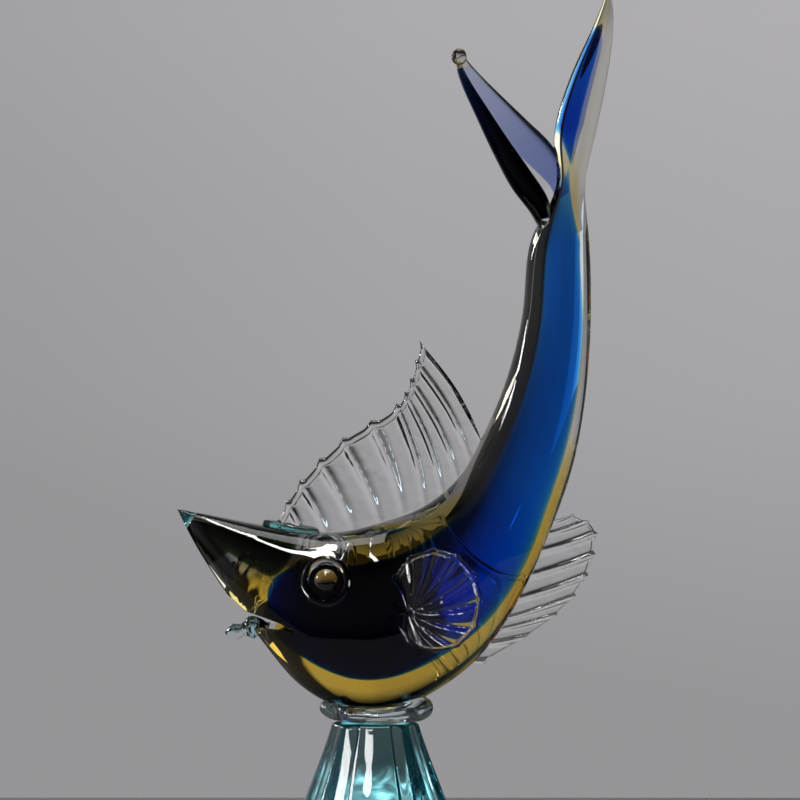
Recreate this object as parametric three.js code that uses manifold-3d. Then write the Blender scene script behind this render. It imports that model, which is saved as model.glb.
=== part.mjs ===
// A leaping fish in cased glass, balanced on a flared foot.
//
// Millimetres, +Z up. The fish lies in the XZ plane with its beak towards -X and its tail rising
// on the +X side, and Y is its thickness. The origin is the centre of the ground underside of the
// foot, the flat face that the figurine rests on.
//
// The body is three layers, one inside the other: a cobalt core, an amber layer and a thick clear
// casing. The tail lobe at the front has the same make-up. All the other pieces are bits of hot
// glass that were laid on afterwards, so each is cut to the surface that it was laid on.

import * as THREE from 'three';
import { mergeVertices } from 'three/addons/utils/BufferGeometryUtils.js';
import Module from 'manifold-3d';

const wasm = await Module();
wasm.setup();

// ---------------------------------------------------------------------------------------------
// Driving dimensions

const GAP = 0.3; // clearance between neighbouring pieces

const FOOT = { height: 64, baseRadius: 43, topRadius: 19, lobes: 8, lobeDepth: 0.06 };
const COLLAR = { radius: 24, bottom: FOOT.height + GAP, height: 10, lumpDepth: 0.13 };
// Round opening under the belly, where the hot body was held
const PONTIL = { radius: 3, x: -1, bottom: 54, depth: 44 };

// Stations of the body from the tip of the beak to the tip of the rear tail lobe. Each gives the
// back line's x and z, the belly line's x and z, and half the thickness across the fish.
const BODY_STATIONS = [
  [-93, 164, -93, 164, 0], // tip of the beak
  [-76, 161, -85, 148, 9],
  [-50, 156, -71, 126, 17.5], // beak
  [-20, 153, -53, 102, 25], // corner of the mouth
  [-7, 155, -33, 79, 28.5], // throat
  [4, 158, -1, 66.5, 30], // lowest point of the belly
  [21, 164, 43, 88, 30],
  [39, 178, 66, 118, 27.5],
  [51, 199, 83, 155, 24],
  [61.5, 224, 94.5, 189, 20.5],
  [69.5, 256, 101, 237, 16], // stem
  [72.5, 290, 101, 288, 12],
  [85.5, 316, 98.5, 316, 8.5], // neck that the front lobe is fused to
  [83.5, 339, 104, 342, 7],
  [91.5, 367, 109, 367, 5.5],
  [103, 392, 112, 392, 3.5],
  [110.5, 411, 110.5, 411, 0], // tip of the rear lobe
];

// The front lobe, from its root inside the stem to its tip: outer edge, inner edge, half thickness.
const LOBE_STATIONS = [
  [80, 290, 91, 302, 5],
  [73, 303, 91, 320, 7],
  [64, 315, 83, 335, 6.5],
  [56, 330, 72, 346, 5.5],
  [48, 347, 60.5, 357, 4.5],
  [39, 368, 46.5, 371, 3.2],
  [37, 381, 38, 381.5, 0],
];
const LOBE_BEAD_HEIGHT = 372; // above this the front lobe is an amber bead
const BEAK_TIP_LENGTH = 11; // the aquamarine end of the beak

// Each inner layer runs from one place along its form to another, both counted 0 to 1, and takes
// a share of each section. Lean moves it towards the back line (+) or the belly line (-).
const AMBER = { start: 0.14, end: 0.97, share: 0.64, lean: -0.03 };
const COBALT = { start: 0.19, end: 0.91, share: 0.42, lean: 0.02 };
const LOBE_COBALT = { start: -0.02, end: 0.8, share: 0.55, lean: 0.12 };

const DORSAL_FIN = {
  root: [[-46, 150], [-22, 149], [4, 153], [24, 161], [40, 175], [51, 194]],
  edge: [[-46, 155], [-34, 174], [-14, 194], [11, 210], [18, 222], [23, 240]],
  bow: [1, 3],
  ribs: 10,
  web: 1.4,
  rib: 1.6,
  saw: 1.6,
};
const ANAL_FIN = {
  root: [[43, 93], [54, 104.5], [62, 113.5], [70.5, 130], [78.5, 148], [82, 158]],
  edge: [[49, 91.5], [79, 110], [93.5, 124], [101, 140], [101.5, 155], [91, 161]],
  bow: [0.5, 0.5],
  ribs: 8,
  web: 1.4,
  rib: 1.4,
  saw: 0.8,
};
const PECTORAL_FIN = {
  root: { x: 14, z: 121 },
  disc: { x: 31, z: 126.5, radius: 22 },
  rootRadius: 3,
  opening: 2.55, // half the angle that the fan's rim covers, in radians
  spread: 24, // degrees that the fan stands away from the flank
  sunk: -1,
  ribs: 7,
  web: 1.5,
  rib: 1.3,
  saw: 0.5,
};

// The notch between the beak and the lower jaw: its corner, and where its upper and lower lines
// start outside the fish and what pulls them into a curve.
const MOUTH = {
  corner: [-41, 109.4],
  upper: { start: [-74, 126.5], pull: [-60, 113.5] },
  lower: { start: [-74, 104], pull: [-54, 110] },
  wall: 1.5, // clear glass between the mouth and the amber
};
const EYE = { along: 0.222, around: 1.24, ringRadius: 10, threadRadius: 2.4, pupilRadius: 5.6 };
const LIP = { x: -69.5, z: 106, length: 26, tilt: -6, beadRadius: 3.2 };
const BROW_THREAD = { front: -51, back: -26, halfWidth: 5.5, radius: 2 };

// ---------------------------------------------------------------------------------------------
// Helpers: curves, closed forms and cuts

const vector = (x, y, z) => new THREE.Vector3(x, y, z);

// A smooth curve in the XZ plane through [x, z] points.
function planeCurve(points) {
  return new THREE.CatmullRomCurve3(points.map(([x, z]) => vector(x, 0, z)), false, 'centripetal');
}

// A form is the pair of edge lines and the thickness that its stations give.
function formOf(stations) {
  return {
    back: planeCurve(stations.map(([x, z]) => [x, z])),
    belly: planeCurve(stations.map(([, , x, z]) => [x, z])),
    depth: planeCurve(stations.map(([, , , , depth], i) => [i, depth])),
  };
}

// A point of the elliptical section at t along a form. Angle 0 is on the back line's side.
function sectionPoint(form, t, angle, { share = 1, lean = 0, grow = 0 } = {}) {
  const place = THREE.MathUtils.clamp(t, 0, 1);
  const back = form.back.getPoint(place);
  const belly = form.belly.getPoint(place);
  const halfSpan = back.clone().sub(belly).multiplyScalar(0.5);
  const centre = back.clone().add(belly).multiplyScalar(0.5).addScaledVector(halfSpan, lean);
  const half = halfSpan.length() * share + grow;
  const deep = form.depth.getPoint(place).z * share + grow;
  const upwards = halfSpan.lengthSq() > 0 ? halfSpan.normalize() : vector(0, 0, 1);
  return centre
    .addScaledVector(upwards, half * Math.cos(angle))
    .add(vector(0, -deep * Math.sin(angle), 0));
}

// Moves every vertex of a geometry to where place(vertex) says.
function reshape(geometry, place) {
  const position = geometry.attributes.position;
  for (let i = 0; i < position.count; i += 1) {
    const moved = place(new THREE.Vector3().fromBufferAttribute(position, i));
    position.setXYZ(i, moved.x, moved.y, moved.z);
  }
  return geometry;
}

// Closed solid along a form, made from a sphere whose poles become the two ends. With a roundness
// its ends are domes; without one they come to a point, where the form itself does.
function loft(form, { start = 0, end = 1, roundness = 0, around = 16, along = 32, ...layer }) {
  return reshape(new THREE.SphereGeometry(1, around, along), (v) => {
    const s = Math.acos(THREE.MathUtils.clamp(v.y, -1, 1)) / Math.PI;
    const angle = Math.atan2(v.z, v.x);
    const t = THREE.MathUtils.lerp(start, end, s);
    const dome = Math.sqrt(Math.max(0, 1 - Math.abs(2 * s - 1) ** roundness));
    const closing = roundness ? dome : Number(s > 0 && s < 1);
    const axis = sectionPoint(form, t, angle, { ...layer, share: 0, grow: 0 });
    return sectionPoint(form, t, angle, layer).sub(axis).multiplyScalar(closing).add(axis);
  });
}

// A layer as a loft with round ends. With a clearance it is the hollow that the layer lies in.
function layerOf(form, { start, end, share, lean }, clearance, detail) {
  const room = clearance / 100; // the hollow also runs on a little past each end
  return solid(loft(form, {
    start: start - room, end: end + room, share, lean, grow: clearance, roundness: 14, ...detail,
  }));
}

// A fin: a sheet between a root line and an outer edge, thick where its ribs are. P(u, v) has u
// from the first rib to the last and v from the root to the edge.
function ribbedSheet({ root, edge, bow, ribs, web, rib, saw }) {
  const steps = 4; // along u, for each rib
  const plate = new THREE.BoxGeometry(1, 1, 1, ribs * steps, 4, 1);
  return reshape(plate, (corner) => {
    const u = corner.x + 0.5;
    const v = corner.y + 0.5;
    const ridge = 0.5 + 0.5 * Math.cos(2 * Math.PI * ribs * u);
    const foot = root.getPoint(u);
    const rim = edge.getPoint(u);
    const outwards = rim.clone().sub(foot).normalize();
    const point = foot.clone().lerp(rim, v);
    const sideways = THREE.MathUtils.lerp(bow[0], bow[1], u) * Math.sin(Math.PI * v);
    point.addScaledVector(vector(outwards.z, 0, -outwards.x), sideways);
    point.addScaledVector(outwards, ridge * saw * v);
    const thickness = (web + rib * ridge) * (1.25 - 0.45 * v);
    point.y = thickness * corner.z;
    return point;
  });
}

// three.js geometry to a manifold solid, with its shared vertices merged and its faces pointing out.
function solid(geometry) {
  const bare = geometry.clone();
  bare.deleteAttribute('normal');
  bare.deleteAttribute('uv');
  const merged = mergeVertices(bare, 1e-3);
  const vertProperties = new Float32Array(merged.attributes.position.array);
  const { array } = merged.index;
  const triVerts = [];
  for (let i = 0; i < array.length; i += 3) {
    const [a, b, c] = array.slice(i, i + 3);
    if (a !== b && b !== c && c !== a) triVerts.push(a, b, c);
  }
  const build = (corners) => {
    const mesh = { numProp: 3, vertProperties, triVerts: new Uint32Array(corners) };
    return new wasm.Manifold(new wasm.Mesh(mesh));
  };
  const made = build(triVerts);
  return made.volume() > 0 ? made : build(triVerts.reverse());
}

// A manifold solid back to a three.js geometry.
function geometryOf(made) {
  const { numProp, vertProperties, triVerts } = made.getMesh();
  const positions = new Float32Array((vertProperties.length / numProp) * 3);
  for (let i = 0; i < positions.length / 3; i += 1) {
    positions.set(vertProperties.subarray(i * numProp, i * numProp + 3), i * 3);
  }
  const geometry = new THREE.BufferGeometry();
  geometry.setAttribute('position', new THREE.BufferAttribute(positions, 3));
  geometry.setIndex(new THREE.BufferAttribute(new Uint32Array(triVerts), 1));
  geometry.computeVertexNormals();
  return geometry;
}

// Turns a geometry that stands on +Y so that it points along a direction, at a place.
function stand(geometry, place, direction) {
  const turn = new THREE.Quaternion().setFromUnitVectors(vector(0, 1, 0), direction);
  return geometry.applyQuaternion(turn).translate(place.x, place.y, place.z);
}

const mirrored = (made) => made.mirror([0, 1, 0]);

// ---------------------------------------------------------------------------------------------
// Materials: one function, because every piece is glass and only its tint differs

function glass(color, roughness = 0.04) {
  return new THREE.MeshStandardMaterial({ color, roughness, metalness: 0 });
}

const CLEAR = 0xe9eef0;
const AQUAMARINE = 0x4fb3c2;
const AMBER_TINT = 0xb8872a;
const COBALT_TINT = 0x0b3f9a;
const DARK = 0x1b1c22;

const figurine = new THREE.Group();

function add(name, made, color, roughness) {
  const mesh = new THREE.Mesh(geometryOf(made), glass(color, roughness));
  mesh.name = name;
  figurine.add(mesh);
}

// ---------------------------------------------------------------------------------------------
// Foot and collar

// A flared pedestal whose side swells into upright lobes. Its underside is ground flat.
function foot() {
  const { height, baseRadius, topRadius, lobes, lobeDepth } = FOOT;
  const flare = (z) => topRadius + (baseRadius - topRadius) * (1 - z / height) ** 1.12;
  const profile = [new THREE.Vector2(0, 0), new THREE.Vector2(baseRadius - 1.5, 0)];
  for (let step = 0; step <= 6; step += 1) {
    const z = THREE.MathUtils.lerp(2, height - 2, step / 6);
    profile.push(new THREE.Vector2(flare(z), z));
  }
  profile.push(new THREE.Vector2(topRadius - 1.5, height), new THREE.Vector2(0, height));
  const turned = new THREE.LatheGeometry(profile, lobes * 4);
  return solid(reshape(turned, (v) => {
    const swell = 1 + lobeDepth * Math.cos(lobes * Math.atan2(v.z, v.x));
    return vector(v.x * swell, -v.z * swell, v.y);
  }));
}

// A lumpy ring of clear glass that the belly sits in, full in the middle.
function collar(bodyClearance) {
  const { radius, bottom, height, lumpDepth } = COLLAR;
  const middle = height / 2;
  const profile = [new THREE.Vector2(0, 0)];
  for (let step = 0; step <= 6; step += 1) {
    const angle = Math.PI * (step / 6 - 0.5);
    const bulge = (1 + Math.sin(angle)) * middle;
    profile.push(new THREE.Vector2(radius - middle + middle * Math.cos(angle), bulge));
  }
  profile.push(new THREE.Vector2(0, height));
  const ring = reshape(new THREE.LatheGeometry(profile, 24), (v) => {
    const angle = Math.atan2(v.z, v.x);
    const lumps = 1 + lumpDepth * (0.7 * Math.cos(2 * angle) + 0.3 * Math.cos(5 * angle));
    return vector(v.x * lumps, -v.z * lumps, bottom + v.y);
  });
  return solid(ring).subtract(bodyClearance);
}

// ---------------------------------------------------------------------------------------------
// Body and tail

const body = formOf(BODY_STATIONS);
const lobe = formOf(LOBE_STATIONS);

const BODY_DETAIL = { around: 18, along: 40 };
const AMBER_DETAIL = { around: 14, along: 30 };
const COBALT_DETAIL = { around: 12, along: 26 };
const bodySolid = solid(loft(body, BODY_DETAIL));
const bodyClearance = solid(loft(body, { ...BODY_DETAIL, grow: GAP }));

const block = (width, x, z) => solid(new THREE.BoxGeometry(width, width, width).translate(x, 0, z));

// The mouth as a wedge through the fish. A room widens it all round.
function mouth(room = 0) {
  const { corner, upper, lower } = MOUTH;
  const [cornerX, cornerZ] = corner;
  const outline = new THREE.Shape();
  outline.moveTo(upper.start[0], upper.start[1] + room);
  outline.quadraticCurveTo(upper.pull[0], upper.pull[1] + room, cornerX + 2 * room, cornerZ);
  outline.quadraticCurveTo(lower.pull[0], lower.pull[1] - room, lower.start[0], lower.start[1] - room);
  outline.closePath();
  const depth = 80;
  const wedge = new THREE.ExtrudeGeometry(outline, { depth, bevelEnabled: false, curveSegments: 6 });
  return solid(wedge.translate(0, 0, -depth / 2).rotateX(Math.PI / 2));
}

// The opening at the lowest point of the belly, up into the layers.
function pontilBore() {
  const { radius, x, bottom, depth } = PONTIL;
  const bore = new THREE.CylinderGeometry(radius, radius, depth, 12);
  return solid(bore.rotateX(Math.PI / 2).translate(x, 0, bottom + depth / 2));
}

const beakBlock = 60;
const beakEnd = BODY_STATIONS[0][0] + BEAK_TIP_LENGTH;
const beakSide = (gap) => block(beakBlock, beakEnd - beakBlock / 2 - gap, 160);

function bodyCasing() {
  const hollow = layerOf(body, AMBER, GAP, AMBER_DETAIL).subtract(mouth(MOUTH.wall));
  return bodySolid
    .subtract(hollow)
    .subtract(mouth())
    .subtract(pontilBore())
    .subtract(beakSide(0));
}

const beakTip = () => bodySolid.intersect(beakSide(GAP));

function amberLayer() {
  return layerOf(body, AMBER, 0, AMBER_DETAIL)
    .subtract(layerOf(body, COBALT, GAP, COBALT_DETAIL))
    .subtract(mouth(MOUTH.wall + GAP))
    .subtract(pontilBore());
}

const cobaltCore = () => layerOf(body, COBALT, 0, COBALT_DETAIL);

const lobeSolid = solid(loft(lobe, { around: 14, along: 16 })).subtract(bodyClearance);
const lobeTop = (gap) => block(40, 40, LOBE_BEAD_HEIGHT + 20 + gap);

function frontLobe() {
  const hollow = layerOf(lobe, LOBE_COBALT, GAP, { around: 12, along: 14 });
  return lobeSolid.subtract(hollow).subtract(lobeTop(0));
}

function frontLobeCore() {
  return layerOf(lobe, LOBE_COBALT, 0, { around: 12, along: 14 }).subtract(bodyClearance);
}

const frontLobeBead = () => lobeSolid.intersect(lobeTop(GAP));

// ---------------------------------------------------------------------------------------------
// Fins

function dorsalFin() {
  const { root, edge } = DORSAL_FIN;
  const sheet = { ...DORSAL_FIN, root: planeCurve(root), edge: planeCurve(edge) };
  return solid(ribbedSheet(sheet)).subtract(bodyClearance);
}

function analFin() {
  const { root, edge } = ANAL_FIN;
  const sheet = { ...ANAL_FIN, root: planeCurve(root), edge: planeCurve(edge) };
  return solid(ribbedSheet(sheet)).subtract(bodyClearance);
}

// A round fan on the -Y flank: its ribs spread from the root to the rim of a disc.
function pectoralFin() {
  const { root, disc, rootRadius, opening, spread, sunk } = PECTORAL_FIN;
  const angles = [-1, -0.75, -0.5, -0.25, 0, 0.25, 0.5, 0.75, 1].map((share) => -share * opening);
  const rim = angles.map((angle) => [
    disc.x - root.x + disc.radius * Math.cos(angle),
    disc.z - root.z + disc.radius * Math.sin(angle),
  ]);
  const heel = angles.map((angle) => [
    rootRadius * Math.cos(angle),
    rootRadius * Math.sin(angle),
  ]);
  const fan = ribbedSheet({ ...PECTORAL_FIN, root: planeCurve(heel), edge: planeCurve(rim), bow: [0, 0] });
  const flank = body.depth.getPoint(0.36).z;
  fan.rotateZ(-THREE.MathUtils.degToRad(spread)).translate(root.x, sunk - flank, root.z);
  return solid(fan).subtract(bodyClearance);
}

// ---------------------------------------------------------------------------------------------
// Head: eyes, lip and brow thread

// Where the eye on the -Y side sits: a point of the body's surface and the direction out of it.
function eyeSeat() {
  const { along, around } = EYE;
  const step = 0.005;
  const place = sectionPoint(body, along, around);
  const onwards = sectionPoint(body, along + step, around).sub(place);
  const upwards = sectionPoint(body, along, around - step).sub(place);
  return { place, direction: upwards.cross(onwards).normalize() };
}

function eyeRing() {
  const { ringRadius, threadRadius } = EYE;
  const { place, direction } = eyeSeat();
  const thread = new THREE.TorusGeometry(ringRadius, threadRadius, 7, 20).rotateX(Math.PI / 2);
  return solid(stand(thread, place, direction)).subtract(bodyClearance);
}

function pupil() {
  const { place, direction } = eyeSeat();
  const bead = new THREE.SphereGeometry(EYE.pupilRadius, 12, 8).scale(1, 0.85, 1);
  return solid(stand(bead, place, direction)).subtract(bodyClearance);
}

// Two beads drawn out on the point of the lower jaw.
function lowerLip() {
  const { x, z, length, tilt, beadRadius } = LIP;
  const steps = 14;
  const profile = [];
  for (let step = 0; step <= steps; step += 1) {
    const share = step / steps;
    const beads = Math.abs(Math.cos(1.5 * Math.PI * share));
    const widening = 1 + 0.6 * share;
    const radius = Math.max(beadRadius * widening * (0.55 + 0.45 * beads), 0);
    const closing = Math.sqrt(Math.max(0, 1 - Math.abs(2 * share - 1) ** 8));
    profile.push(new THREE.Vector2(radius * closing, length * share));
  }
  const slope = THREE.MathUtils.degToRad(tilt);
  const inwards = vector(Math.cos(slope), 0, Math.sin(slope));
  const drawn = stand(new THREE.LatheGeometry(profile, 12), vector(x, 0, z), inwards);
  return solid(drawn).subtract(bodyClearance).subtract(mouth());
}

// A thread laid round the front of the dorsal fin, along the brow.
function browThread() {
  const { front, back, halfWidth, radius } = BROW_THREAD;
  const crest = (x) => 157 - 0.13 * (x - front);
  const path = new THREE.CatmullRomCurve3([
    vector(back, halfWidth, crest(back) - 1),
    vector((front + back) / 2, halfWidth, crest((front + back) / 2) - 0.5),
    vector(front, 0, crest(front)),
    vector((front + back) / 2, -halfWidth, crest((front + back) / 2) - 0.5),
    vector(back, -halfWidth, crest(back) - 1),
  ]);
  const round = new THREE.Shape().absarc(0, 0, radius, 0, 2 * Math.PI);
  const settings = { steps: 16, curveSegments: 4, bevelEnabled: false, extrudePath: path };
  const thread = solid(new THREE.ExtrudeGeometry(round, settings));
  return thread.subtract(bodyClearance);
}

// ---------------------------------------------------------------------------------------------
// Assembly

add('foot', foot(), AQUAMARINE);
add('collar', collar(bodyClearance), CLEAR);
add('body_casing', bodyCasing(), CLEAR);
add('amber_layer', amberLayer(), AMBER_TINT);
add('cobalt_core', cobaltCore(), COBALT_TINT);
add('beak_tip', beakTip(), AQUAMARINE);
add('tail_lobe_front', frontLobe(), CLEAR);
add('tail_lobe_front_core', frontLobeCore(), COBALT_TINT);
add('tail_bead_front', frontLobeBead(), AMBER_TINT);
add('dorsal_fin', dorsalFin(), CLEAR);
add('anal_fin', analFin(), CLEAR);
add('brow_thread', browThread(), AQUAMARINE);
add('lower_lip', lowerLip(), CLEAR);
add('pectoral_fin_near', pectoralFin(), CLEAR);
add('pectoral_fin_far', mirrored(pectoralFin()), CLEAR);
add('eye_ring_near', eyeRing(), CLEAR);
add('eye_ring_far', mirrored(eyeRing()), CLEAR);
add('pupil_near', pupil(), DARK);
add('pupil_far', mirrored(pupil()), DARK);

export default figurine;
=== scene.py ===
"""A leaping fish in cased glass on a flared aquamarine foot, against a grey wall.

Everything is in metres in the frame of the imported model: +Z up, the fish in the XZ plane with its
beak towards -X, and the foot's ground underside at the origin. The outlines below are written in
millimetres, as the model's own design is, and MM turns them into metres.
"""

import math

import bmesh
import bpy
import numpy as np
from mathutils import Matrix, Vector, noise
from mathutils.bvhtree import BVHTree


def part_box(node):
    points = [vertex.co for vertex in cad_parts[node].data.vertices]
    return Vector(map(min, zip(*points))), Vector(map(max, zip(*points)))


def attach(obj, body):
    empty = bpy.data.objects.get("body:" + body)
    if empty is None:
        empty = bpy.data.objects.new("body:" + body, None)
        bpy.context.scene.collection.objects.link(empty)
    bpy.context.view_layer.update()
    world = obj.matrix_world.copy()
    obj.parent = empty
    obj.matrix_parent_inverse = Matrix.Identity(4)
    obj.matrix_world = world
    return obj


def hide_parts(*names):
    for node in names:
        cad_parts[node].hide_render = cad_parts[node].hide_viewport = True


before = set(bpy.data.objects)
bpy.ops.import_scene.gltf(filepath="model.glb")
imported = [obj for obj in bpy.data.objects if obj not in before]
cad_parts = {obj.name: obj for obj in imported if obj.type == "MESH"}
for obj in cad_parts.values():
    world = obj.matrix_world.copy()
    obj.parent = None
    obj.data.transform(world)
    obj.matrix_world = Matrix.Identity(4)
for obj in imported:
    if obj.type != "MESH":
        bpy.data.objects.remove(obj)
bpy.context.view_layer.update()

MM = 0.001

# ------------------------------------------------------------------------------------------------
# Camera: level with the fish, far away on a long lens, aimed so that the foot runs out of the frame

CAMERA_DISTANCE = 2.4
CAMERA_TILT = math.radians(2.0)
FRAME_WIDTH = 0.376  # what the picture spans at the fish
AIM = Vector((0.0118, 0.0, 0.2153))


def make_camera():
    data = bpy.data.cameras.new("camera")
    data.sensor_width = 36.0
    data.lens = data.sensor_width * CAMERA_DISTANCE / FRAME_WIDTH
    camera = bpy.data.objects.new("camera", data)
    bpy.context.scene.collection.objects.link(camera)
    back = Vector((0.0, -math.cos(CAMERA_TILT), math.sin(CAMERA_TILT)))
    camera.location = AIM + back * CAMERA_DISTANCE
    camera.rotation_euler = (-back).to_track_quat("-Z", "Y").to_euler()
    bpy.context.scene.camera = camera


make_camera()

# ------------------------------------------------------------------------------------------------
# Outlines, in millimetres

# The body from the tip of the beak to the tip of the rear tail lobe: the back line's x and z, the
# belly line's x and z, and half the thickness across the fish.
BODY_STATIONS = [
    (-93, 164, -93, 164, 0),
    (-76, 161, -85, 148, 9),
    (-50, 156, -71, 126, 17.5),
    (-20, 153, -53, 102, 25),
    (-7, 155, -33, 79, 28.5),
    (4, 158, -1, 66.5, 30),
    (21, 164, 43, 88, 30),
    (39, 178, 66, 118, 27.5),
    (51, 199, 83, 155, 24),
    (61.5, 224, 94.5, 189, 20.5),
    (69.5, 256, 101, 237, 16),
    (72.5, 290, 101, 288, 12),
    (85.5, 316, 98.5, 316, 8.5),
    (83.5, 339, 104, 342, 7),
    (91.5, 367, 109, 367, 5.5),
    (103, 392, 112, 392, 3.5),
    (110.5, 411, 110.5, 411, 0),
]

# The front tail lobe from its root in the stem to its tip, in the same columns.
LOBE_STATIONS = [
    (80, 290, 91, 302, 5),
    (73, 303, 91, 320, 7),
    (64, 315, 83, 335, 6.5),
    (56, 330, 72, 346, 5.5),
    (48, 347, 60.5, 357, 4.5),
    (39, 368, 46.5, 371, 3.2),
    (37, 381, 38, 381.5, 0),
]

DORSAL_ROOT = [(-46, 150), (-22, 149), (4, 153), (24, 161), (40, 175), (51, 194)]
DORSAL_EDGE = [(-46, 155), (-34, 174), (-14, 194), (11, 210), (18, 222), (23, 240)]
ANAL_ROOT = [(43, 93), (54, 104.5), (62, 113.5), (70.5, 130), (78.5, 148), (82, 158)]
ANAL_EDGE = [(49, 91.5), (79, 110), (93.5, 124), (101, 140), (101.5, 155), (91, 161)]

# How square the sections are along the body: 2 is an ellipse, and more has flatter sides
BODY_SQUARENESS = [
    (0, 2.2),
    (0.12, 2.7),
    (0.235, 2.6),  # the beak
    (0.285, 2.1),
    (0.45, 2.0),
    (0.7, 2.0),  # the stem
    (0.78, 2.8),
    (1, 2.6),  # the rear lobe
]

# ------------------------------------------------------------------------------------------------
# Curves and forms


def smooth_curve(points, places):
    """Points of the centripetal Catmull-Rom curve through points, at places counted 0 to 1."""
    points = np.array(points, float).reshape(len(points), -1)
    padded = np.vstack([2 * points[0] - points[1], points, 2 * points[-1] - points[-2]])
    position = np.clip(places, 0, 1) * (len(points) - 1)
    first = np.minimum(position.astype(int), len(points) - 2)
    weight = (position - first)[:, None]
    p0, p1, p2, p3 = (padded[first + k] for k in range(4))
    gaps = [np.linalg.norm(b - a, axis=1)[:, None] ** 0.5 for a, b in ((p0, p1), (p1, p2), (p2, p3))]
    middle = np.where(gaps[1] < 1e-4, 1, gaps[1])
    before = np.where(gaps[0] < 1e-4, middle, gaps[0])
    after = np.where(gaps[2] < 1e-4, middle, gaps[2])
    leave = (p1 - p0) / before - (p2 - p0) / (before + middle) + (p2 - p1) / middle
    arrive = (p2 - p1) / middle - (p3 - p1) / (middle + after) + (p3 - p2) / after
    leave, arrive = leave * middle, arrive * middle
    return (
        p1
        + leave * weight
        + (3 * (p2 - p1) - 2 * leave - arrive) * weight**2
        + (2 * (p1 - p2) + leave + arrive) * weight**3
    )


def ease(values, passes):
    """Takes the small kinks out of a sampled line, and leaves its ends where they are."""
    values = values.copy()
    for _ in range(passes):
        values[1:-1] = (values[:-2] + 2 * values[1:-1] + values[2:]) / 4
    return values


def along(table, t):
    """The value of a table of (place, value) at each place in t."""
    places, values = zip(*table)
    return np.interp(t, places, values)


def section_height(w, squareness):
    """Half the height of a section of half height 1, at w from -1 to 1 across it."""
    return np.clip(1 - np.abs(w) ** squareness, 0, 1) ** (1 / squareness)


class Form:
    """A tapering body given by stations, as in the tables above, sampled finely and eased."""

    SAMPLES = 400

    def __init__(self, stations, squareness, passes=60):
        places = np.linspace(0, 1, self.SAMPLES)
        table = np.array(stations, float)
        self.back = ease(smooth_curve(table[:, 0:2], places), passes)
        self.belly = ease(smooth_curve(table[:, 2:4], places), passes)
        counted = np.column_stack([np.arange(len(table)), table[:, 4]])
        self.depth = ease(smooth_curve(counted, places)[:, 1], passes)
        self.squareness = squareness

    def at(self, values, t):
        index = np.clip(t, 0, 1) * (self.SAMPLES - 1)
        columns = values.reshape(self.SAMPLES, -1)
        known = np.arange(self.SAMPLES)
        return np.column_stack([np.interp(index, known, column) for column in columns.T])

    def rings(self, t, around, share=1.0, lean=0.0, deep=None, squareness=None):
        """One ring for each place in t: share of the body's width, and deep of its thickness."""
        t = np.asarray(t, float)
        deep = share if deep is None else deep
        squareness = along(self.squareness, t) if squareness is None else squareness
        values = [np.broadcast_to(v, t.shape)[:, None] for v in (share, lean, deep, squareness)]
        share, lean, deep, squareness = values
        back, belly = self.at(self.back, t), self.at(self.belly, t)
        depth = self.at(self.depth, t)
        half = (back - belly) / 2
        centre = (back + belly) / 2 + half * lean
        angle = np.linspace(0, 2 * np.pi, around, endpoint=False)
        across = half[:, None, :] * (share[:, None] * np.cos(angle)[None, :, None])
        plane = centre[:, None, :] + across
        height = section_height(np.cos(angle)[None, :], squareness)
        side = -depth * deep * height * np.sign(np.sin(angle))[None, :]
        return np.stack([plane[..., 0], side, plane[..., 1]], axis=-1)


BODY = Form(BODY_STATIONS, BODY_SQUARENESS)
LOBE = Form(LOBE_STATIONS, [(0, 2), (1, 2)])

# ------------------------------------------------------------------------------------------------
# Meshes


def tube_faces(rings, around):
    """Faces of a closed tube of rings, whose two end vertices follow the rings."""
    faces = []
    for i in range(rings - 1):
        for j in range(around):
            k = (j + 1) % around
            faces.append((i * around + j, i * around + k, (i + 1) * around + k, (i + 1) * around + j))
    start, end = rings * around, rings * around + 1
    last = (rings - 1) * around
    for j in range(around):
        k = (j + 1) % around
        faces.append((start, k, j))
        faces.append((end, last + j, last + k))
    return faces


def closed_tube(rings):
    """(vertices in metres, faces) of a tube of rings in millimetres, closed at both ends."""
    count, around = rings.shape[:2]
    vertices = np.vstack([rings.reshape(-1, 3), [rings[0].mean(0)], [rings[-1].mean(0)]]) * MM
    return vertices, tube_faces(count, around)


def add_piece(name, parts, materials, nodes, inside=0):
    """One object of closed parts, each (vertices, faces). The last inside of them are hollows."""
    vertices, faces, choice = [], [], []
    for number, (part_vertices, part_faces) in enumerate(parts):
        offset = len(vertices)
        vertices.extend(part_vertices.tolist())
        faces.extend(tuple(offset + i for i in face) for face in part_faces)
        choice.extend([min(number, len(materials) - 1)] * len(part_faces))
    mesh = bpy.data.meshes.new(name)
    mesh.from_pydata(vertices, [], faces)
    for material in materials:
        mesh.materials.append(material)
    mesh.polygons.foreach_set("material_index", choice)
    mesh.polygons.foreach_set("use_smooth", [True] * len(faces))
    outwards = bmesh.new()
    outwards.from_mesh(mesh)
    bmesh.ops.recalc_face_normals(outwards, faces=outwards.faces)
    if inside:
        solid_faces = len(faces) - sum(len(part_faces) for _, part_faces in parts[-inside:])
        outwards.faces.ensure_lookup_table()
        bmesh.ops.reverse_faces(outwards, faces=outwards.faces[solid_faces:])
    outwards.to_mesh(mesh)
    outwards.free()
    piece = bpy.data.objects.new(name, mesh)
    bpy.context.scene.collection.objects.link(piece)
    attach(piece, "root")
    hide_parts(*nodes)
    return piece


def dome(s, roundness):
    """How far a round-ended tube is open at s, counted 0 to 1 along it."""
    return np.sqrt(np.clip(1 - np.abs(2 * s - 1) ** roundness, 0, 1))


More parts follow.
